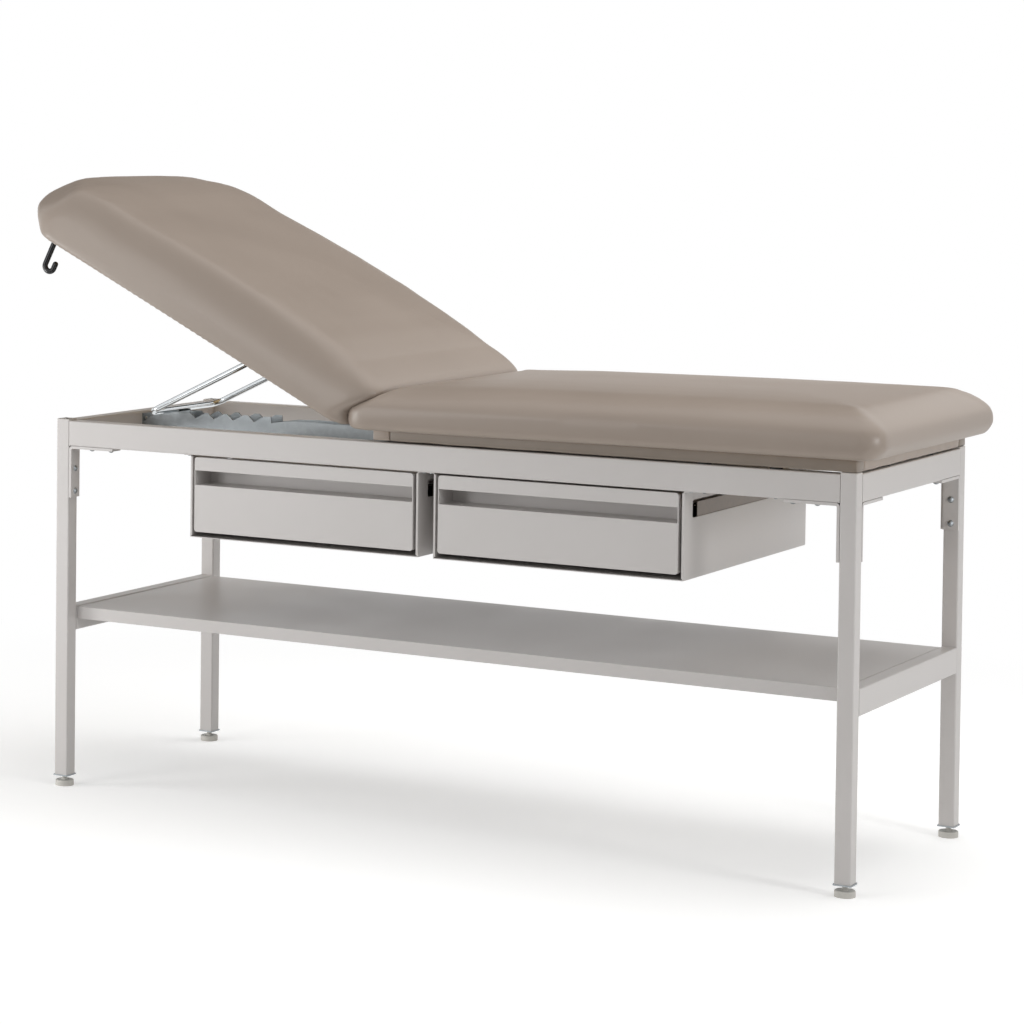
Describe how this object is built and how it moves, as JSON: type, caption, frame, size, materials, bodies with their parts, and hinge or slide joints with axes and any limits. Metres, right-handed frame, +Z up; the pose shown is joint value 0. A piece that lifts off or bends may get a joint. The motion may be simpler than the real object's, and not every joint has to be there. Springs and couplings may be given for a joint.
{
  "type": "treatment table",
  "caption": "Padded treatment table on a steel tube frame with a lifting backrest on a prop bar, drawers and an undershelf",
  "frame": {"origin": "middle of the footprint of the whole table with its backrest raised as pictured, on the floor", "axes": "+X along the table towards the foot end, +Y across it away from the drawer fronts, +Z up"},
  "size_m": [1.8974, 0.692, 1.2786],
  "materials": {
    "painted_steel": "satin",
    "zinc_steel": "satin",
    "chrome_bar": "polished",
    "vinyl": "satin",
    "plywood": "matte",
    "glide_plastic": "satin",
    "cap_plastic": "satin",
    "hook_coating": "satin",
    "pad_rubber": "matte"
  },
  "bodies": {
    "frame": {"leg_front_head": "painted_steel", "leg_front_foot": "painted_steel", "leg_back_head": "painted_steel", "leg_back_foot": "painted_steel", "leg_caps": "cap_plastic", "top_rail_head": "painted_steel", "top_rail_foot": "painted_steel", "low_rail_head": "painted_steel", "low_rail_foot": "painted_steel", "side_rail_front": "painted_steel", "side_rail_back": "painted_steel", "cross_member": "painted_steel", "corner_brackets": "painted_steel", "bracket_bolts": "zinc_steel", "foot_inserts": "zinc_steel", "shelf_pan": "painted_steel", "shelf_angles": "painted_steel", "shelf_stiffener": "painted_steel", "shelf_screws": "zinc_steel", "housing_head": "painted_steel", "housing_foot": "painted_steel", "housing_screws": "zinc_steel", "slide_channels": "zinc_steel", "riser_side_battens": "vinyl", "riser_cross_battens": "vinyl", "spacer_pads": "pad_rubber", "riser_screws": "zinc_steel", "seat_board": "plywood", "seat_cushion": "vinyl", "hinge_brackets": "zinc_steel", "hinge_bracket_screws": "zinc_steel", "hinge_pins": "zinc_steel", "rack_channel": "zinc_steel", "rack_end_plates": "zinc_steel", "rack_bolts": "zinc_steel"},
    "backrest": {"backrest_board": "plywood", "backrest_side_battens": "plywood", "backrest_cross_battens": "plywood", "backrest_cushion": "vinyl", "backrest_nose": "vinyl", "hooks": "hook_coating", "hinge_straps": "zinc_steel", "strap_screws": "zinc_steel", "prop_brackets": "zinc_steel", "prop_screws": "zinc_steel"},
    "prop": {"prop_bar": "chrome_bar"},
    "drawer_head": {"drawer_front_head": "painted_steel", "drawer_box_head": "painted_steel", "slide_runners_head": "zinc_steel"},
    "drawer_foot": {"drawer_front_foot": "painted_steel", "drawer_box_foot": "painted_steel", "slide_runners_foot": "zinc_steel"},
    "cages_head": {"ball_cages_head": "zinc_steel"},
    "cages_foot": {"ball_cages_foot": "zinc_steel"},
    "foot_front_head": {"glide_front_head": "glide_plastic"},
    "foot_front_foot": {"glide_front_foot": "glide_plastic"},
    "foot_back_head": {"glide_back_head": "glide_plastic"},
    "foot_back_foot": {"glide_back_foot": "glide_plastic"}
  },
  "joints": [
    {"name": "backrest_hinge", "type": "hinge", "parent": "frame", "child": "backrest", "pos_m": [-0.10231, 0, 0.787], "axis": [0, 1, 0], "range_deg": [-26.35, 31.6], "deforming": ["backrest_nose"]},
    {"name": "prop_hinge", "type": "hinge", "parent": "backrest", "child": "prop", "pos_m": [-0.40372, 0, 0.93662], "axis": [0, 1, 0], "range_deg": [-59.91, 50.04]},
    {"name": "drawer_slide_head", "type": "slide", "parent": "frame", "child": "drawer_head", "axis": [0, -1, 0], "range_m": [0, 0.4]},
    {"name": "cage_slide_head", "type": "slide", "parent": "frame", "child": "cages_head", "axis": [0, -1, 0], "range_m": [0, 0.2]},
    {"name": "drawer_slide_foot", "type": "slide", "parent": "frame", "child": "drawer_foot", "axis": [0, -1, 0], "range_m": [0, 0.4]},
    {"name": "cage_slide_foot", "type": "slide", "parent": "frame", "child": "cages_foot", "axis": [0, -1, 0], "range_m": [0, 0.2]},
    {"name": "levelling_front_head", "type": "slide", "parent": "frame", "child": "foot_front_head", "axis": [0, 0, -1], "range_m": [-0.005, 0.015]},
    {"name": "levelling_front_foot", "type": "slide", "parent": "frame", "child": "foot_front_foot", "axis": [0, 0, -1], "range_m": [-0.005, 0.015]},
    {"name": "levelling_back_head", "type": "slide", "parent": "frame", "child": "foot_back_head", "axis": [0, 0, -1], "range_m": [-0.005, 0.015]},
    {"name": "levelling_back_foot", "type": "slide", "parent": "frame", "child": "foot_back_foot", "axis": [0, 0, -1], "range_m": [-0.005, 0.015]}
  ],
  "couplings": [
    {"joint": "prop_hinge", "follows": "backrest_hinge", "ratio": -1.88},
    {"joint": "cage_slide_head", "follows": "drawer_slide_head", "ratio": 0.5},
    {"joint": "cage_slide_foot", "follows": "drawer_slide_foot", "ratio": 0.5}
  ]
}
